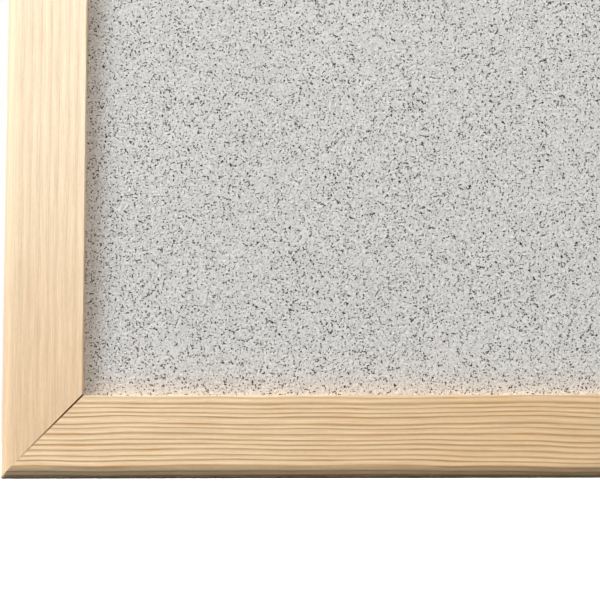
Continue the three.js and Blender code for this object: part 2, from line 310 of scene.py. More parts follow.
# rows of points round the y axis, then turned and put in their place. A row has one radius, a list of
# radii, or None for a single point on the axis
def spun(rows, sides, base, turn=upright):
    vertices, faces, starts = [], [], []
    for radii, height in rows:
        starts.append(len(vertices))
        if radii is None:
            vertices.append(base + turn @ Vector((0, height, 0)))
            continue
        for k in range(sides):
            angle = 2 * math.pi * k / sides
            radius = radii[k] if isinstance(radii, list) else radii
            spoke = Vector((radius * math.cos(angle), height, radius * math.sin(angle)))
            vertices.append(base + turn @ spoke)
    for n in range(len(rows) - 1):
        start, end = starts[n], starts[n + 1]
        for k in range(sides):
            j = (k + 1) % sides
            if rows[n][0] is None:
                faces.append((start, end + k, end + j))
            elif rows[n + 1][0] is None:
                faces.append((start + k, end, start + j))
            else:
                faces.append((start + k, end + k, end + j, start + j))
    return vertices, faces


# the rows of a dome that rises upright from its skirt and levels out into a flat top
def domeRows(radius, skirt, flat, height, steps):
    rows = []
    for i in range(1, steps + 1):
        t = i / steps
        rows.append((radius * (1 - t * t) + flat * t * t, skirt * (1 - t) ** 2 + height * (2 * t - t * t)))
    return rows


# the cutters don't meet each other, so they cut as one
def cutAway(piece, solids, crease=smoothAngle):
    vertices, faces = [], []
    for solidVertices, solidFaces in solids:
        faces += [tuple(len(vertices) + i for i in face) for face in solidFaces]
        vertices += solidVertices
    cutter = newMeshObject("cutter", "cutter", vertices, faces)
    faceOutwards(cutter)
    modifier = piece.modifiers.new("cut", "BOOLEAN")
    modifier.object = cutter
    modifier.solver = "EXACT"
    applyModifier(piece, modifier, crease)
    bpy.data.objects.remove(cutter)


def roundEdges(piece, width, segments=2):
    modifier = piece.modifiers.new("rounding", "BEVEL")
    modifier.width = width * mm
    modifier.segments = segments
    modifier.limit_method = "ANGLE"
    modifier.angle_limit = math.radians(smoothAngle)
    applyModifier(piece, modifier, smoothAngle)


def arcPoints(centre, radius, startAngle, endAngle, steps):
    points = []
    for i in range(steps + 1):
        angle = math.radians(lerp(startAngle, endAngle, i / steps))
        points.append(Vector((centre[0] + radius * math.cos(angle), centre[1] + radius * math.sin(angle))))
    return points


def circlePoints(centre, radius, count):
    return arcPoints(centre, radius, 0, 360 * (count - 1) / count, count - 1)


# the points between two ends, without the ends
def between(start, end, pitch):
    start, end = Vector(start), Vector(end)
    steps = max(1, round((end - start).length / pitch))
    return [start.lerp(end, i / steps) for i in range(1, steps)]


# the outline of a strip that follows a line
def stripOutline(line, thickness):
    left, right = [], []
    for i, point in enumerate(line):
        before, after = line[max(i - 1, 0)], line[min(i + 1, len(line) - 1)]
        incoming = ((point - before) if i else (after - point)).normalized()
        outgoing = ((after - point) if i < len(line) - 1 else incoming).normalized()
        bisector = (incoming + outgoing).normalized()
        reach = thickness / 2 / bisector.dot(incoming)
        left.append(point + Vector((-bisector.y, bisector.x)) * reach)
        right.append(point - Vector((-bisector.y, bisector.x)) * reach)
    return left + right[::-1]


# the frame's own places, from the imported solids
railLow, railHigh = (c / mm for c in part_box("bottom_rail"))
railWidth = railHigh.z - railLow.z
railDepth = railHigh.y - railLow.y
frontY, rearY = railLow.y, railHigh.y
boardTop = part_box("top_rail")[1].z / mm
boardMiddle = Vector((0, 0, (boardTop + railLow.z) / 2))
boardHalf = Vector((cadBox[1][0] / mm, 0, boardTop - boardMiddle.z))

# pine, planed and sanded under a thin satin lacquer: pale earlywood between tan latewood lines, fine
# fibre streaks along the grain, a soft broad sheen. IOR 1.5 for the lacquer. Sizes of marks run along the
# stick, back from its face and in from its edge; those of streaks and patches run along, in years and back.
# A line gives the latewood's darkness at shares of the year
pine = {
    "ior": 1.5,
    "gloss": 0.3,
    "roughness": (0.47, 0.36),
    "waveWidths": (45, 30),
    "shiver": 0.6,
    "shiverSize": (22, 1.8, 1.8),
    "yearPace": 0.45,
    "yearDrift": 0.8,
    "sharpLine": ((0.0, 0.35), (0.12, 0.04), (0.38, 0.0), (0.58, 0.22), (0.74, 0.9), (0.84, 1.0),
                  (0.94, 0.75), (1.0, 0.35)),
    "softLine": ((0.0, 0.3), (0.3, 0.0), (0.7, 0.8), (0.85, 1.0), (1.0, 0.3)),
    "yearDark": (0.8, 1.0),
    "weatherSize": (38, 3, 2.2),
    "weatherDark": (0.82, 1.06),
    "streaks": 0.4,
    "streakSize": (45, 0.3125, 12),
    "arrisBand": (2.2, 0.8),
    "arrisPaling": 0.4,
    "patchSize": (24, 1.4, 20),
    "patchSpread": (0.57, 0.77),
    "patchStrength": 1.5,
    "fibreLength": 20.0,
    "fibreWidth": 0.45,
    "fibreTone": (0.88, 1.12),
    "fleckLength": 2.2,
    "fleckTone": (0.965, 1.035),
    "endGrain": "#7c3e0c",
    "brownEdge": 0.36,
    "brownFade": 0.2,
    "brownBand": (5, 24),
    "grainRelief": 0.06,
    "fibreLift": 0.6,
}

# each side is cut from its own stick: the turn that lays it along the grain, the pith's place from the
# outer edge and face, the spacing of its rings, how far they wander, how sharp its lines are, and between
# which places along it the wood goes tan
sticks = {
    "bottom_rail": {
        "turn": 0, "pith": (-77.2, 35), "rings": 1.8, "wander": 2.2, "waveLength": 62, "contrast": 0.7,
        "sharp": 1.0, "early": "#f8deb7", "late": "#a27434", "patch": "#f4cd98", "tan": "#eacca3",
        "tanBetween": (-290, -100), "seed": 3.0},
    "top_rail": {
        "turn": 180, "pith": (-60, 45), "rings": 2.0, "wander": 1.8, "waveLength": 80, "contrast": 0.82,
        "sharp": 1.0, "early": "#eed4a9", "late": "#b8915f", "patch": "#f4cd98", "tan": "#e5c6a0",
        "tanBetween": (-200, 250), "seed": 11.0},
    "left_stile": {
        "turn": 90, "pith": (-190, 60), "rings": 3.2, "wander": 0.7, "waveLength": 120, "contrast": 0.43,
        "sharp": 0.0, "early": "#fbe5c5", "late": "#dab98e", "patch": "#f6d9b4", "tan": "#e2c39e",
        "tanBetween": (50, 215), "seed": 23.0},
    "right_stile": {
        "turn": -90, "pith": (-150, 50), "rings": 2.6, "wander": 0.8, "waveLength": 120, "contrast": 0.55,
        "sharp": 0.3, "early": "#f4d9b4", "late": "#cda678", "patch": "#f6d9b4", "tan": "#dfc09c",
        "tanBetween": (-120, 160), "seed": 37.0},
}


# where a spot lies in its stick: along it, back from its face and in from its outer edge
def stickCoords(tree, stick, outerEdge):
    coords = addNode(tree, "TexCoord")
    moved = addNode(tree, "VectorMath", {0: coords.outputs["Object"], 1: outerEdge * mm},
                    operation="SUBTRACT")
    return addNode(tree, "Mapping", {"Vector": moved, "Scale": (1 / mm, 1 / mm, 1 / mm),
                                     "Rotation": (0, math.radians(-stick["turn"]), 0)})


# a spot's years of growth, counted from the pith. Slow waves carry neighbouring rings along together, each
# line has a small shiver of its own, and the spacing drifts through good and poor years
def growthYears(tree, stick, local, depth, inwards):
    seed = stick["seed"]
    wave = markPattern(tree, local, (stick["waveLength"], *pine["waveWidths"]), (seed, 0, 0), detail=1.5,
                       roughness=0.45)
    waveShift = addNode(tree, "Math", {0: wave, 1: 2 * stick["wander"], 2: -stick["wander"]},
                        operation="MULTIPLY_ADD")
    shiver = markPattern(tree, local, pine["shiverSize"], (0, seed, 0))
    shift = addNode(tree, "Math", {0: shiver, 1: pine["shiver"], 2: waveShift}, operation="MULTIPLY_ADD")
    across = addNode(tree, "Math", {0: inwards, 1: shift})
    spot = addNode(tree, "CombineXYZ", {0: across, 1: depth})
    radius = addNode(tree, "VectorMath", {0: spot, 1: (*stick["pith"], 0)}, operation="DISTANCE")
    years = addNode(tree, "Math", {0: radius, 1: 1 / stick["rings"]}, operation="MULTIPLY")
    drift = addNode(tree, "TexNoise", {"W": years, "Scale": pine["yearPace"], "Detail": 1.0},
                    noise_dimensions="1D")
    return addNode(tree, "Math", {0: drift, 1: pine["yearDrift"], 2: years}, operation="MULTIPLY_ADD")


# latewood, from 0 in the pale wood to 1 in a dark line, with faint streaks between the rings. The lines'
# darkness changes from year to year and along each line
def latewood(tree, stick, local, ringAt, years):
    yearIndex = addNode(tree, "Math", {0: years}, operation="FLOOR")
    yearShare = addNode(tree, "Math", {0: years}, operation="FRACT")
    sharp = addNode(tree, "ValToRGB", {0: yearShare}, stops=pine["sharpLine"])
    soft = addNode(tree, "ValToRGB", {0: yearShare}, stops=pine["softLine"])
    line = addNode(tree, "Mix", {0: stick["sharp"], 2: soft, 3: sharp})
    chance = addNode(tree, "TexWhiteNoise", {"W": yearIndex}, noise_dimensions="1D")
    yearDark = addNode(tree, "MapRange", {0: chance, (3, 4): pine["yearDark"]})
    weather = markPattern(tree, local, pine["weatherSize"], (0, 0, stick["seed"]), detail=1.0)
    weatherDark = addNode(tree, "MapRange", {0: weather, (1, 2): noiseSpread, (3, 4): pine["weatherDark"]})
    yearLine = addNode(tree, "Math", {0: line, 1: yearDark}, operation="MULTIPLY")
    band = addNode(tree, "Math", {0: yearLine, 1: weatherDark}, operation="MULTIPLY")
    streak = markPattern(tree, ringAt, pine["streakSize"], (stick["seed"], 0, 0), detail=1.5)
    return addNode(tree, "Math", {0: streak, 1: pine["streaks"], 2: band}, operation="MULTIPLY_ADD")


# fibres follow the rings down the stick, and short flecks show where some were cut through. Together they
# only lighten or darken the wood a little
def woodFibres(tree, stick, ringAt):
    seed, width = stick["seed"], pine["fibreWidth"]
    fibre = markPattern(tree, ringAt, (pine["fibreLength"], width / stick["rings"], width), (seed, 0, seed),
                        detail=3.0, roughness=0.6)
    fleckPlace = (seed * pine["fibreLength"] / pine["fleckLength"], seed, seed)
    fleck = markPattern(tree, ringAt, (pine["fleckLength"], width / stick["rings"], width), fleckPlace)
    tones = [addNode(tree, "MapRange", {0: marks, (1, 2): noiseSpread, (3, 4): pine[tone]})
             for marks, tone in ((fibre, "fibreTone"), (fleck, "fleckTone"))]
    return fibre, addNode(tree, "Math", {0: tones[0], 1: tones[1]}, operation="MULTIPLY")


# pale wood that goes tan along the stick, its lines, paler where the inner arris was sanded, and warm
# stretches of resin, a few centimetres long, mostly in the latewood
def grainColor(tree, stick, along, inwards, ringAt, late):
    ends = addNode(tree, "MapRange", {0: along, (1, 2): stick["tanBetween"]},
                   interpolation_type="SMOOTHSTEP")
    early = addNode(tree, "Mix", {0: ends, 6: stick["early"], 7: stick["tan"]}, data_type="RGBA")
    contrast = addNode(tree, "MapRange", {
        0: inwards, (1, 2): [railWidth - d for d in pine["arrisBand"]],
        (3, 4): (stick["contrast"], pine["arrisPaling"] * stick["contrast"])})
    share = addNode(tree, "Math", {0: late, 1: contrast}, operation="MULTIPLY", use_clamp=True)
    rings = addNode(tree, "Mix", {0: share, 6: early, 7: stick["late"]}, data_type="RGBA")
    patch = markPattern(tree, ringAt, pine["patchSize"], (stick["seed"], stick["seed"], 0))
    patchMost = pine["patchStrength"] * stick["contrast"] ** 2
    patchShare = addNode(tree, "MapRange", {0: patch, (1, 2): pine["patchSpread"], (3, 4): (0.0, patchMost)})
    resin = addNode(tree, "Math", {0: patchShare, 1: late}, operation="MULTIPLY", use_clamp=True)
    return addNode(tree, "Mix", {0: resin, 6: rings, 7: stick["patch"]}, data_type="RGBA",
                   blend_type="MULTIPLY")


# the sawn end grain has gone brown, which shows where the mitre stands open
def brownedMitre(tree, color, along, inwards, halfLength):
    fromMiddle = addNode(tree, "Math", {0: along}, operation="ABSOLUTE")
    toMitre = addNode(tree, "Math", {0: fromMiddle, 1: inwards})
    brownFrom = halfLength - pine["brownEdge"]
    nearMitre = addNode(tree, "MapRange", {0: toMitre, (1, 2): (brownFrom - pine["brownFade"], brownFrom)})
    openEnd = addNode(tree, "MapRange", {0: inwards, (1, 2): pine["brownBand"]})
    share = addNode(tree, "Math", {0: nearMitre, 1: openEnd}, operation="MULTIPLY")
    return addNode(tree, "Mix", {0: share, 6: color, 7: pine["endGrain"]}, data_type="RGBA")


def makePine(name, stick, outerEdge, halfLength):
    material, tree = startMaterial("lacqueredPine_" + name)
    local = stickCoords(tree, stick, outerEdge)
    axes = addNode(tree, "SeparateXYZ", {0: local})
    along, depth, inwards = (axes.outputs[axis] for axis in ("X", "Y", "Z"))
    years = growthYears(tree, stick, local, depth, inwards)
    ringAt = addNode(tree, "CombineXYZ", {0: along, 1: years, 2: depth})
    late = latewood(tree, stick, local, ringAt, years)
    fibre, tone = woodFibres(tree, stick, ringAt)
    grain = grainColor(tree, stick, along, inwards, ringAt, late)
    toned = addNode(tree, "VectorMath", {0: grain, 3: tone}, operation="SCALE")
    color = brownedMitre(tree, toned, along, inwards, halfLength)
    rough = addNode(tree, "MapRange", {0: late, (3, 4): pine["roughness"]})
    lift = addNode(tree, "Math", {0: fibre, 1: pine["fibreLift"], 2: late}, operation="MULTIPLY_ADD")
    return endMaterial(material, lift, pine["grainRelief"], {
        "Base Color": color, "Roughness": rough, "IOR": pine["ior"], "Specular IOR Level": pine["gloss"]})


# rolled steel, bright, its sheared edges showing; metals keep the default IOR
brightSteel = {"color": "#b9bbbd", "dull": "#8d8f92", "roughness": (0.24, 0.4), "grain": 0.25}

# zinc plate over stamped steel: cool bright metal with a faint cloudiness
zincPlate = {"color": "#b4b8bd", "dull": "#8f949a", "roughness": (0.21, 0.37), "grain": 0.7}

# what handling leaves on either metal
metalWear = {
    "cloud": 3.0,
    "scratchSize": (4, 0.12, 0.12),
    "scratchTurn": (0.3, 0.5, 0.7),
    "scratchSpread": (0.62, 0.75),
    "scratchRough": 0.22,
    "gritRelief": 0.01,
}


def makeMetal(name, finish, seed):
    material, tree = startMaterial(name)
    local = millimetres(tree)
    cloud = addNode(tree, "TexNoise", {"Vector": local, "W": seed, "Scale": 1 / metalWear["cloud"],
                                       "Detail": 3.0}, noise_dimensions="4D")
    grit = addNode(tree, "TexNoise", {"Vector": local, "W": seed, "Scale": 1 / finish["grain"],
                                      "Detail": 2.0}, noise_dimensions="4D")
    scratch = markPattern(tree, local, metalWear["scratchSize"], turn=metalWear["scratchTurn"])
    scratched = addNode(tree, "MapRange", {0: scratch, (1, 2): metalWear["scratchSpread"],
                                           (3, 4): (0.0, metalWear["scratchRough"])})
    color = addNode(tree, "Mix", {0: cloud, 6: finish["color"], 7: finish["dull"]}, data_type="RGBA")
    rough = addNode(tree, "MapRange", {0: cloud, (1, 2): noiseSpread, (3, 4): finish["roughness"]})
    worn = addNode(tree, "Math", {0: rough, 1: scratched})
    return endMaterial(material, grit, metalWear["gritRelief"], {
        "Base Color": color, "Metallic": 1.0, "Roughness": worn}, strength=0.5)


steelMaterial = makeMetal("rolledBrightSteel", brightSteel, 2.0)
zincMaterial = makeMetal("zincPlatedSteel", zincPlate, 5.0)
print("stage: wood and metal")

# the moulding: a strip with a shaped outer edge and a rebate behind its inner edge, mitred at its ends.
# Its mitres stand open at the inner corner, and the saw has left their edges a little ragged
moulding = {
    "outerRound": 4.6,
    "bevelShape": 1.5,  # 1 is a straight bevel and 2 a quarter round
    "roundSteps": 20,
    "innerEase": 0.08,
    "innerSteps": 6,
    "rearEase": 1.0,
    "rearSteps": 5,
    "lip": 4.0,
    "rebate": 8.0,
    "facePitch": 0.4,
    "rebatePitch": 1.5,
    "plainPitch": 2.0,
    "sectionPitch": 7.0,
    "endInsets": (0, 0.12, 0.5, 1.2, 2.4, 4.2),
    "gapOuter": 0.02,
    "gapInner": 0.28,
    "closedUpTo": 5.0,
    "ragged": 0.12,
    "raggedReach": 1.5,
    "sawMean": 0.3,
    "sawMarks": ((0.8, 0.9, 7), (2.7, 0.4, 9)),  # marks per millimetre, their depth and place in the noise
    "arris": 0.12,
    "faceWave": 0.05,
    "faceWaveSize": (40, 9),
}
rebateWall = railWidth - moulding["rebate"]


# where a side lies: its turn, half its length and the middle of its outer edge
def layOut(stick):
    level = stick["turn"] in (0, 180)
    turn = rotation(stick["turn"])
    halfLength, reach = (boardHalf.x, boardHalf.z) if level else (boardHalf.z, boardHalf.x)
    return turn, halfLength, boardMiddle - turn @ Vector((0, 0, reach))


# the section: u runs inwards from the outer edge, v runs back from the face
def mouldingSection():
    outer, inner, rear, lip = (moulding[k] for k in ("outerRound", "innerEase", "rearEase", "lip"))
    power, steps = 2 / moulding["bevelShape"], moulding["roundSteps"]
    points = []
    for i in range(steps + 1):
        angle = math.pi / 2 * i / steps
        u, v = (outer * (1 - wave(angle) ** power) for wave in (math.cos, math.sin))
        points.append(Vector((u, v)))
    points += between(points[-1], (railWidth - inner, 0), moulding["facePitch"])
    points += arcPoints((railWidth - inner, inner), inner, 270, 360, moulding["innerSteps"])
    for corner in ((railWidth, lip), (rebateWall, lip), (rebateWall, railDepth)):
        points += between(points[-1], corner, moulding["rebatePitch"]) + [Vector(corner)]
    points += between(points[-1], (rear, railDepth), moulding["plainPitch"])
    points += arcPoints((rear, railDepth - rear), rear, 90, 180, moulding["rearSteps"])
    return points + between(points[-1], points[0], moulding["plainPitch"])


# where the sections stand, as shares of half the length: evenly along the side, and closely at its ends
def sectionShares(halfLength):
    count = round(2 * halfLength / moulding["sectionPitch"])
    inner = [lerp(-1, 1, i / count) for i in range(1, count)]
    outer = [1 - inset / halfLength for inset in moulding["endInsets"]]
    return sorted([-share for share in outer] + inner + outer)


# how much of a side's length the open mitre and the saw take at one spot of its section
def mitreLoss(u, v, opened, nearEnd, seed, hand):
    gap = lerp(moulding["gapOuter"], moulding["gapInner"], opened)
    rough = moulding["sawMean"]
    for perMm, depth, place in moulding["sawMarks"]:
        rough += depth * noise.noise(Vector((u * perMm, v * perMm, seed + place * hand)))
    return gap / 2 * math.sqrt(2) + moulding["ragged"] * nearEnd * opened * max(rough, 0)


def makeRail(name, stick, cutters):
    turn, halfLength, edge = layOut(stick)
    edge = edge + Vector((0, frontY, 0))
    section, shares, seed = mouldingSection(), sectionShares(halfLength), stick["seed"]
    closedUpTo, (waveLength, waveWidth) = moulding["closedUpTo"], moulding["faceWaveSize"]
    vertices = []
    for share in shares:
        hand = math.copysign(1, share)
        nearEnd = max(0.0, 1 - (1 - abs(share)) * halfLength / moulding["raggedReach"])
        for u, v in section:
            opened = min(1.0, max(0.0, (u - closedUpTo) / (railWidth - closedUpTo)))
            x = share * (halfLength - u - mitreLoss(u, v, opened, nearEnd, seed, hand))
            sink = moulding["arris"] * opened if abs(share) == 1 and v < moulding["outerRound"] / 2 else 0
            if v < moulding["lip"]:
                ripple = noise.noise(Vector((x / waveLength, u / waveWidth, seed)))
                sink += moulding["faceWave"] * abs(ripple)
            vertices.append(edge + turn @ Vector((x, v + sink, u)))
    solid = vertices, sleeveFaces(len(section), len(shares))
    piece = addPiece(name, solid, makePine(name, stick, edge, halfLength), "board")
    cutAway(piece, cutters)


# corner nails: V strips driven across each mitre from behind, and the slots that they cut
cornerNail = {
    "leg": 4.0,
    "halfAngle": 50,
    "thickness": 0.5,
    "height": 10.0,
    "sunk": 0.5,
    "bend": 0.5,
    "bendSteps": 6,
    "insets": {"outer": 6.16, "inner": 13.64},
    "edge": 0.06,
    "slotPlay": 0.06,
    "slotDeeper": 0.2,
    "slotPast": 1.0,
}

# retaining points: flat tabs driven into the rebate's wall, lying on the back panel
retainingPoint = {
    "width": 5.0,
    "length": 15.0,
    "tip": 2.5,
    "bite": 6.0,
    "edge": 0.08,
    "slotPlay": 0.08,
    "railShares": (-0.375, -0.125, 0.125, 0.375),
    "stileShares": (-0.25, 0.25),
}

boardCorners = {"bottom_left": (-1, -1), "bottom_right": (1, -1), "top_right": (1, 1), "top_left": (-1, 1)}


def nailOutline(grow):
    angle = cornerNail["halfAngle"]
    half = math.radians(angle)
    leg, bend = cornerNail["leg"] + grow, cornerNail["bend"]
    line = [Vector((-leg * math.sin(half), leg * math.cos(half)))]
    line += arcPoints((0, bend / math.sin(half)), bend, angle - 180, -angle, cornerNail["bendSteps"])
    line.append(Vector((leg * math.sin(half), leg * math.cos(half))))
    return stripOutline(line, cornerNail["thickness"] + 2 * grow)


def pointSolid(node, spot, turn, grow):
    low, high = (c.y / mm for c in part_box(node))
    half = retainingPoint["width"] / 2 + grow
    tip, bite = retainingPoint["tip"], retainingPoint["bite"]
    top = retainingPoint["length"] - bite + grow
    outline = ((-half, top), (-half, tip - bite), (0, -bite - grow), (half, tip - bite), (half, top))
    return prism(outline, (low - grow, high + grow), spot, turn)


slotCutters = {name: [] for name in sticks}
for corner, (cx, cz) in boardCorners.items():
    turn = Matrix.Rotation(math.atan2(-cx, -cz), 3, "Y")
    deepest = -cornerNail["sunk"] - cornerNail["height"]
    for label, inset in cornerNail["insets"].items():
        spot = boardMiddle + Vector((cx * (boardHalf.x - inset), rearY, cz * (boardHalf.z - inset)))
        strip = prism(nailOutline(0), (deepest, -cornerNail["sunk"]), spot, turn)
        nail = addPiece(f"{corner}_nail_{label}", strip, steelMaterial, "board")
        roundEdges(nail, cornerNail["edge"])
        slotLevels = (deepest - cornerNail["slotDeeper"], cornerNail["slotPast"])
        slot = prism(nailOutline(cornerNail["slotPlay"]), slotLevels, spot, turn)
        for side in (corner.split("_")[0] + "_rail", corner.split("_")[1] + "_stile"):
            slotCutters[side].append(slot)

for name, stick in sticks.items():
    turn, halfLength, edge = layOut(stick)
    shares = retainingPoint["railShares" if name.endswith("rail") else "stileShares"]
    for i, share in enumerate(shares):
        spot = edge + turn @ Vector((2 * share * halfLength, 0, rebateWall))
        node = f"{name}_point_{i + 1}"
        tab = addPiece(node, pointSolid(node, spot, turn, 0), steelMaterial, "board")
        roundEdges(tab, retainingPoint["edge"])
        slotCutters[name].append(pointSolid(node, spot, turn, retainingPoint["slotPlay"]))
print("stage: nails and points")

# hangers: a steel strip folded double round the ring's bar, its far end rounded, two holes for screws
hanger = {
    "thickness": 1.0,
    "width": 10.0,
    "seam": 0.1,
    "bore": 1.15,
    "foldAngle": 55,
    "foldSteps": 32,
    "length": 37.3,
    "centreX": 289.0,
    "centreZ": -13.0,
    "holes": {"upper": 19.3, "lower": 31.3},
    "holeRadius": 1.6,
    "holeSteps": 48,
    "tailSteps": 40,
    "wasteShare": 1.6,
    "cutLevels": (-1, 6),
    "edge": 0.16,
}

# the ring: a D of round wire, its ends meeting inside the fold
ring = {
    "wire": 2.0,
    "halfWidth": 8.5,
    "leg": 5.5,
    "corner": 2.2,
    "buttGap": 0.3,
    "endShare": 0.8,
    "chamferShare": 0.12,
    "tilt": 5.12,
    "sides": 20,
    "pitch": 1.0,
    "cornerSteps": 12,
    "bowSteps": 64,
}

# pan-head wood screws with a cross recess, each left at its own turn
screw = {
    "radius": 1.5,
    "core": 1.1,
    "pitch": 1.3,
    "ridgeShare": 0.22,
    "runOut": 1.2,
    "length": 12.0,
    "tip": 2.6,
    "neck": 0.4,
    "headRadius": 3.0,
    "headHeight": 1.9,
    "headEdge": 0.7,
    "headEase": 0.1,
    "seat": 0.05,
    "recessSpan": 3.2,
    "recessWidth": 0.8,
    "recessDepth": 1.2,
    "recessPast": 0.3,
    "recessTaperShares": (0.6, 0.8),
    "holePlay": 0.1,
    "holePast": 1.0,
    "sides": 32,
    "shankSteps": 88,
    "domeSteps": 12,
    "turns": {"left_upper": 24, "left_lower": 67, "right_upper": 8, "right_lower": 41},
}


# the strap's middle line from its lower end round the fold and back: along the strap, and off the frame
def strapLine():
    thickness, fold = hanger["thickness"], hanger["foldAngle"]
    upper = thickness * 1.5 + hanger["seam"]
    line = [Vector((-hanger["length"], thickness / 2))]
    line += arcPoints((0, thickness + hanger["bore"]), hanger["bore"] + thickness / 2, -90, 90 + fold,
                      hanger["foldSteps"])
    run = (line[-1].y - upper) / math.tan(math.radians(fold))
    return line + [Vector((line[-1].x - run, upper)), Vector((-hanger["length"], upper))]


def makeStrap(hand, base):
    half = hanger["width"] / 2
    # the profile stands on edge: along the strap is up, off the frame is back, and the width runs across
    upOnEdge = Matrix(((0, 1, 0), (0, 0, 1), (1, 0, 0)))
    solid = prism(stripOutline(strapLine(), hanger["thickness"]), (-half, half), base, upOnEdge)
    strap = addPiece(f"{hand}_hanger_strap", solid, zincMaterial, "board")
    tail = hanger["length"] - half
    reach = half * hanger["wasteShare"]
    waste = arcPoints((0, -tail), half, 180, 360, hanger["tailSteps"])
    waste += [(reach, -tail), (reach, -tail - reach), (-reach, -tail - reach), (-reach, -tail)]
    outlines = [waste]
    for drop in hanger["holes"].values():
        outlines.append(circlePoints((0, -drop), hanger["holeRadius"], hanger["holeSteps"]))
    cutAway(strap, [prism(outline, hanger["cutLevels"], base) for outline in outlines])
    roundEdges(strap, hanger["edge"], 3)


def ringLine():
    corner, leg, half, butt = ring["corner"], ring["leg"], ring["halfWidth"], ring["buttGap"] / 2
    pitch, steps, bar = ring["pitch"], ring["cornerSteps"], half - corner
    line = [Vector((butt, 0))] + between((butt, 0), (bar, 0), pitch)
    line += arcPoints((bar, -corner), corner, 90, 0, steps)
    line += between((half, -corner), (half, -leg), pitch)
    line += arcPoints((0, -leg), half, 0, -180, ring["bowSteps"])
    line += between((-half, -leg), (-half, -corner), pitch)
    line += arcPoints((-bar, -corner), corner, 180, 90, steps)
    return line + between((-bar, 0), (-butt, 0), pitch) + [Vector((-butt, 0))]


def makeRing(hand, base):
    line, sides, cutEnd = ringLine(), ring["sides"], ring["endShare"]
    tilt = rotation(ring["tilt"], "X")
    base = base + Vector((0, hanger["thickness"] + hanger["bore"], 0))
    # the wire's cut ends have a small chamfer
    line.insert(1, line[0].lerp(line[1], ring["chamferShare"]))
    line.insert(-1, line[-1].lerp(line[-2], ring["chamferShare"]))
    vertices = []
    for i, point in enumerate(line):
        forward = (line[min(i + 1, len(line) - 1)] - line[max(i - 1, 0)]).normalized()
        sideways = Vector((-forward.y, forward.x))
        radius = ring["wire"] / 2 * (cutEnd if i in (0, len(line) - 1) else 1)
        for k in range(sides):
            angle = 2 * math.pi * k / sides
            flat = point + sideways * (math.cos(angle) * radius)
            vertices.append(base + tilt @ Vector((flat.x, math.sin(angle) * radius, flat.y)))
    solid = vertices, sleeveFaces(sides, len(line))
    addPiece(f"{hand}_hanger_ring", solid, zincMaterial, f"{hand}_ring")


# the thread is a ridge that winds down the shank and runs out under the head
def shankRadius(height, share):
    taper = min(1.0, (height + screw["length"]) / screw["tip"])
    fade = min(1.0, max(0.0, (screw["seat"] - screw["runOut"] - height) / screw["runOut"]))
    phase = (height / screw["pitch"] - share) % 1.0
    ridge = max(0.0, 1 - abs(phase - 0.5) / screw["ridgeShare"])
    return taper * lerp(screw["core"], screw["radius"], ridge * fade)


def screwSolid(base, turn):
    length, seat, edge, crown = (screw[k] for k in ("length", "seat", "headRadius", "headHeight"))
    sides, steps, ease = screw["sides"], screw["shankSteps"], screw["headEase"]
    skirt = seat + screw["headEdge"]
    rows = [(None, -length)]
    for i in range(1, steps + 1):
        height = lerp(-length, seat - screw["neck"], i / steps)
        rows.append(([shankRadius(height, k / sides) for k in range(sides)], height))
    rows += [(screw["core"], seat), (edge - ease, seat), (edge, seat + ease), (edge, skirt)]
    rows += domeRows(edge, skirt, screw["recessSpan"] / 2, crown, screw["domeSteps"])
    return spun(rows + [(None, crown)], sides, base, turn)


# the cross that the recess cuts, narrower at its bottom. In its outline a 2 stands for half its span and a
# 1 for half its width
def recessSolid(base, turn):
    cross = ((2, 1), (1, 1), (1, 2), (-1, 2), (-1, 1), (-2, 1),
             (-2, -1), (-1, -1), (-1, -2), (1, -2), (1, -1), (2, -1))
    bottom, top = screw["headHeight"] - screw["recessDepth"], screw["headHeight"] + screw["recessPast"]
    vertices = []
    for level, (spanShare, widthShare) in ((bottom, screw["recessTaperShares"]), (top, (1, 1))):
        reach = {1: widthShare * screw["recessWidth"] / 2, 2: spanShare * screw["recessSpan"] / 2}
        for spot in cross:
            x, z = (math.copysign(reach[abs(c)], c) for c in spot)
            vertices.append(base + turn @ Vector((x, level, z)))
    return vertices, sleeveFaces(len(cross), 2)


def makeScrew(name, base, turnAngle):
    turn = rotation(turnAngle)
    piece = addPiece(name, screwSolid(base, turn), zincMaterial, "board", crease=30)
    cutAway(piece, [recessSolid(base, turn)], crease=30)


for hand, side in hands.items():
    base = Vector((side * hanger["centreX"], rearY, hanger["centreZ"]))
    makeStrap(hand, base)
    makeRing(hand, base)
    strapTop = 2 * hanger["thickness"] + hanger["seam"]
    for level, drop in hanger["holes"].items():
        spot = base + Vector((0, strapTop, -drop))
        makeScrew(f"{hand}_hanger_screw_{level}", spot, screw["turns"][f"{hand}_{level}"])
        hole = circlePoints((0, 0), screw["radius"] + screw["holePlay"], screw["sides"])
        holeLevels = (-screw["length"] - screw["holePlay"], screw["holePast"] - strapTop)
        slotCutters[f"{hand}_stile"].append(prism(hole, holeLevels, spot))
print("stage: hangers")

# bumpers: moulded soft rubber, very dull, with a fine grain from the mould and a little dust
bumper = {
    "radius": 5.0,
    "flatRadius": 3.0,
    "skirt": 1.0,
    "height": 5.0,
    "baseEase": 0.15,
    "innerShare": 0.6,
    "sides": 48,
    "domeSteps": 16,
    "centreX": 260.0,
    "centreZ": -322.0,
    "color": "#26272a",
    "dust": "#6a6866",
    "dustSize": 2.2,
    "dustSpread": (0.45, 0.8),
    "dustMost": 0.25,
    "grain": 0.35,
    "relief": 0.03,
    "roughness": (0.64, 0.84),
    "ior": 1.52,
}


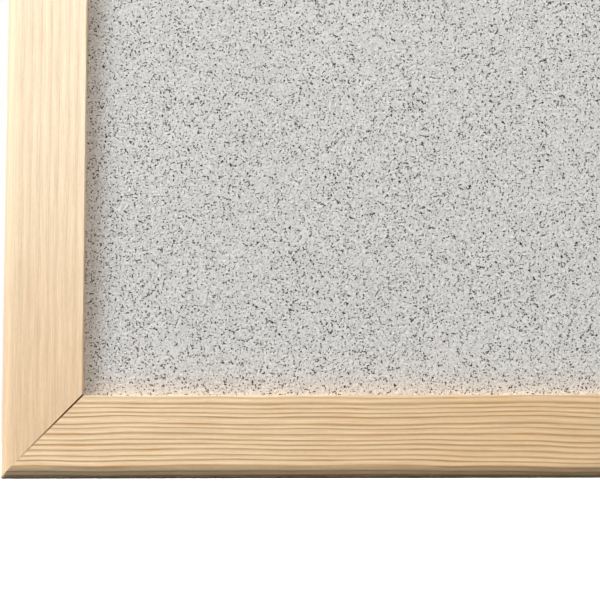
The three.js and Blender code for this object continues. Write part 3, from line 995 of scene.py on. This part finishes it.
def makeRubber():
    material, tree = startMaterial("mouldedRubber")
    local = millimetres(tree)
    grain = addNode(tree, "TexNoise", {"Vector": local, "Scale": 1 / bumper["grain"], "Detail": 3.0})
    dust = addNode(tree, "TexNoise", {"Vector": local, "Scale": 1 / bumper["dustSize"], "Detail": 4.0})
    dustShare = addNode(tree, "MapRange", {0: dust, (1, 2): bumper["dustSpread"],
                                           (3, 4): (0.0, bumper["dustMost"])})
    color = addNode(tree, "Mix", {0: dustShare, 6: bumper["color"], 7: bumper["dust"]}, data_type="RGBA")
    rough = addNode(tree, "MapRange", {0: dust, (3, 4): bumper["roughness"]})
    return endMaterial(material, grain, bumper["relief"], {
        "Base Color": color, "Roughness": rough, "IOR": bumper["ior"]}, strength=0.6)


rubberMaterial = makeRubber()
for hand, side in hands.items():
    radius, flat, skirt, height = (bumper[k] for k in ("radius", "flatRadius", "skirt", "height"))
    rows = [(None, 0), (radius - bumper["baseEase"], 0), (radius, bumper["baseEase"]), (radius, skirt)]
    rows += domeRows(radius, skirt, flat, height, bumper["domeSteps"])
    rows += [(flat * bumper["innerShare"], height), (None, height)]
    base = Vector((side * bumper["centreX"], rearY, bumper["centreZ"]))
    addPiece(f"{hand}_bumper", spun(rows, bumper["sides"], base), rubberMaterial, "board")
print("stage: bumpers")

for name, stick in sticks.items():
    makeRail(name, stick, slotCutters[name])
print("stage: frame")

# agglomerated cork, ground flat and roller-coated pale grey: granules pressed together, small pits where the
# coat misses the gaps between them, coloured near black as bare cork with painted shade inside them. Very
# matt
cork = {
    "coat": "#f3f1ee",
    "shade": "#d2d0cd",
    # the pits' colour, far darker than bare cork: partly the cork, partly painted shade
    "shadedPit": "#2e2924",
    # the painted warm shade along the rim beside the frame, and how far in it reaches
    "paintedWarmShade": "#faf3ec",
    "paintedShadeWidth": 18.0,
    "granule": 1.3,
    "seamReach": 0.42,
    "speckle": 0.64,
    "speckleSpread": (0.574, 0.634),
    "pitSpread": (0.15, 0.45),
    "pitDepth": 0.5,
    "mottle": 0.95,
    "mottleSpread": (0.36, 0.62),
    "gritRelief": 0.8,
    "granuleRelief": 0.08,
    "gridPitch": 1.6,
    "swell": 0.12,
    "swellSize": 14,
    "granuleLift": 0.07,
    "roughness": 0.85,
    "ior": 1.45,
    "gloss": 0.2,
}


# 1 along the sheet's rim beside the frame and 0 further in: where a warm shade from the frame is painted on
# the coat
def paintedShadeShare(tree, local):
    low, high = (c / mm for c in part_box("cork_sheet"))
    fromMiddle = addNode(tree, "VectorMath", {0: local, 1: (low + high) / 2}, operation="SUBTRACT")
    outwards = addNode(tree, "VectorMath", {0: fromMiddle}, operation="ABSOLUTE")
    pastRim = addNode(tree, "VectorMath", {0: outwards, 1: (high - low) / 2}, operation="SUBTRACT")
    axes = addNode(tree, "SeparateXYZ", {0: pastRim})
    nearest = addNode(tree, "Math", {0: axes.outputs["X"], 1: axes.outputs["Z"]}, operation="MAXIMUM")
    width = cork["paintedShadeWidth"]
    return addNode(tree, "MapRange", {0: nearest, (1, 2): (-width, -width / 2)},
                   interpolation_type="SMOOTHSTEP")


def makeCork():
    material, tree = startMaterial("coatedAgglomeratedCork")
    local = millimetres(tree)
    grains = {"Vector": local, "Scale": 1 / cork["granule"]}
    granule = addNode(tree, "TexVoronoi", grains)
    seam = addNode(tree, "TexVoronoi", grains, feature="DISTANCE_TO_EDGE")
    seamShare = addNode(tree, "MapRange", {0: seam, (1, 2): (0.0, cork["seamReach"]), (3, 4): (1.0, 0.0)})
    speckle = addNode(tree, "TexNoise", {"Vector": local, "Scale": 1 / cork["speckle"],
                                         "Detail": 2.5, "Roughness": 0.6})
    speckleShare = addNode(tree, "MapRange", {0: speckle, (1, 2): cork["speckleSpread"]})
    gap = addNode(tree, "Math", {0: seamShare, 1: speckleShare}, operation="MULTIPLY")
    shadedPit = addNode(tree, "MapRange", {0: gap, (1, 2): cork["pitSpread"]})
    mottle = addNode(tree, "TexNoise", {"Vector": local, "Scale": 1 / cork["mottle"],
                                        "Detail": 4.0, "Roughness": 0.72})
    mottleShare = addNode(tree, "MapRange", {0: mottle, (1, 2): cork["mottleSpread"]})
    coat = addNode(tree, "Mix", {0: mottleShare, 6: cork["coat"], 7: cork["shade"]}, data_type="RGBA")
    # painted shade: the coat is darkened and warmed along its rim, standing in for the frame's shadow and
    # the light thrown off the pine
    tinted = addNode(tree, "Mix", {0: paintedShadeShare(tree, local), 6: coat, 7: cork["paintedWarmShade"]},
                     data_type="RGBA", blend_type="MULTIPLY")
    # the pits are painted near black: partly bare cork, partly painted shade inside them
    color = addNode(tree, "Mix", {0: shadedPit, 6: tinted, 7: cork["shadedPit"]}, data_type="RGBA")
    sunk = addNode(tree, "Math", {0: shadedPit, 1: -cork["pitDepth"]}, operation="MULTIPLY")
    grit = addNode(tree, "Math", {0: mottle, 1: cork["gritRelief"], 2: sunk}, operation="MULTIPLY_ADD")
    height = addNode(tree, "Math", {0: granule, 1: -cork["granuleRelief"], 2: grit},
                     operation="MULTIPLY_ADD")
    return endMaterial(material, height, 1, {
        "Base Color": color, "Roughness": cork["roughness"], "IOR": cork["ior"],
        "Specular IOR Level": cork["gloss"]})


# hardboard, pressed on a wire screen: its back is brown, with the screen's print and darker fibre
# bundles. The print is drawn at twice its real 1.3 mm so that it shows
hardboard = {
    "tones": ((0.3, "#5a3a22"), (0.5, "#7a5232"), (0.75, "#94694a")),
    "screen": 2.6,
    "fibreSize": (3.5, 1, 1.2),
    "fibreLift": 0.8,
    "cloud": 60,
    "cloudTone": (0.88, 1.1),
    "relief": 0.12,
    "roughness": (0.58, 0.8),
    "ior": 1.5,
    "gridPitch": 6.0,
    "swell": 0.06,
    "swellSize": 45,
}

# softboard: pale pulp fibre between the two sheets; only its edges could ever show
softboard = {
    "color": "#b49a78",
    "dark": "#8f7757",
    "fibre": 1.4,
    "relief": 0.25,
    "roughness": 0.95,
    "gridPitch": 12.0,
}


def makeHardboard():
    material, tree = startMaterial("screenBackedHardboard")
    local = millimetres(tree)
    axes = addNode(tree, "SeparateXYZ", {0: local})
    waves = []
    for axis in ("X", "Z"):
        angle = addNode(tree, "Math", {0: axes.outputs[axis], 1: 2 * math.pi / hardboard["screen"]},
                        operation="MULTIPLY")
        waves.append(addNode(tree, "Math", {0: angle}, operation="SINE"))
    weave = addNode(tree, "Math", {0: waves[0], 1: waves[1]}, operation="MULTIPLY")
    fibre = markPattern(tree, local, hardboard["fibreSize"], detail=5.0, roughness=0.65, distortion=1.2)
    tone = addNode(tree, "ValToRGB", {0: fibre}, stops=hardboard["tones"])
    cloud = addNode(tree, "TexNoise", {"Vector": local, "Scale": 1 / hardboard["cloud"], "Detail": 4.0})
    cloudTone = addNode(tree, "MapRange", {0: cloud, (1, 2): noiseSpread, (3, 4): hardboard["cloudTone"]})
    color = addNode(tree, "VectorMath", {0: tone, 3: cloudTone}, operation="SCALE")
    rough = addNode(tree, "MapRange", {0: fibre, (3, 4): hardboard["roughness"]})
    height = addNode(tree, "Math", {0: fibre, 1: hardboard["fibreLift"], 2: weave},
                     operation="MULTIPLY_ADD")
    return endMaterial(material, height, hardboard["relief"], {
        "Base Color": color, "Roughness": rough, "IOR": hardboard["ior"]})


def makeSoftboard():
    material, tree = startMaterial("pulpSoftboard")
    fibre = addNode(tree, "TexNoise", {"Vector": millimetres(tree), "Scale": 1 / softboard["fibre"],
                                       "Detail": 5.0, "Distortion": 1.5})
    color = addNode(tree, "Mix", {0: fibre, 6: softboard["color"], 7: softboard["dark"]}, data_type="RGBA")
    return endMaterial(material, fibre, softboard["relief"], {
        "Base Color": color, "Roughness": softboard["roughness"]})


# a sheet as a closed slab: a grid on its shown face, whose relief only ever sinks into the sheet, and a
# plain face behind it
def makeSheet(name, pitch, material, relief, facesFront):
    low, high = (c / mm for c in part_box(name))
    shownY, hiddenY, sign = (low.y, high.y, 1) if facesFront else (high.y, low.y, -1)
    columns, rows = round((high.x - low.x) / pitch), round((high.z - low.z) / pitch)
    across = columns + 1
    vertices, faces = [], []
    for r in range(rows + 1):
        for c in range(across):
            x, z = lerp(low.x, high.x, c / columns), lerp(low.z, high.z, r / rows)
            rim = r in (0, rows) or c in (0, columns)
            vertices.append((x, shownY + (0 if rim else sign * relief(x, z)), z))
    for r in range(rows):
        for c in range(columns):
            a = r * across + c
            faces.append((a, a + 1, a + across + 1, a + across))
    rim = list(range(columns)) + [r * across + columns for r in range(rows)]
    rim += [rows * across + c for c in range(columns, 0, -1)] + [r * across for r in range(rows, 0, -1)]
    hidden = len(vertices)
    vertices += [(vertices[i][0], hiddenY, vertices[i][2]) for i in rim]
    middle = len(vertices)
    vertices.append(((low.x + high.x) / 2, hiddenY, (low.z + high.z) / 2))
    for i in range(len(rim)):
        j = (i + 1) % len(rim)
        faces.append((rim[i], rim[j], hidden + j, hidden + i))
        faces.append((hidden + i, hidden + j, middle))
    addPiece(name, (vertices, faces), material, "board", crease=50)


# the granules' heights are the same in every run
random.seed(4)


# a slow swell between 0 and 1
def slowSwell(x, z, size, place):
    return 0.5 + 0.5 * noise.noise(Vector((x / size, z / size, place)))


def corkRelief(x, z):
    return cork["swell"] * slowSwell(x, z, cork["swellSize"], 2.0) + cork["granuleLift"] * random.random()


def waveRelief(x, z):
    return hardboard["swell"] * slowSwell(x, z, hardboard["swellSize"], 8.0)


def noRelief(x, z):
    return 0.0


makeSheet("cork_sheet", cork["gridPitch"], makeCork(), corkRelief, True)
makeSheet("softboard_core", softboard["gridPitch"], makeSoftboard(), noRelief, True)
makeSheet("back_panel", hardboard["gridPitch"], makeHardboard(), waveRelief, False)
print("stage: sheets")
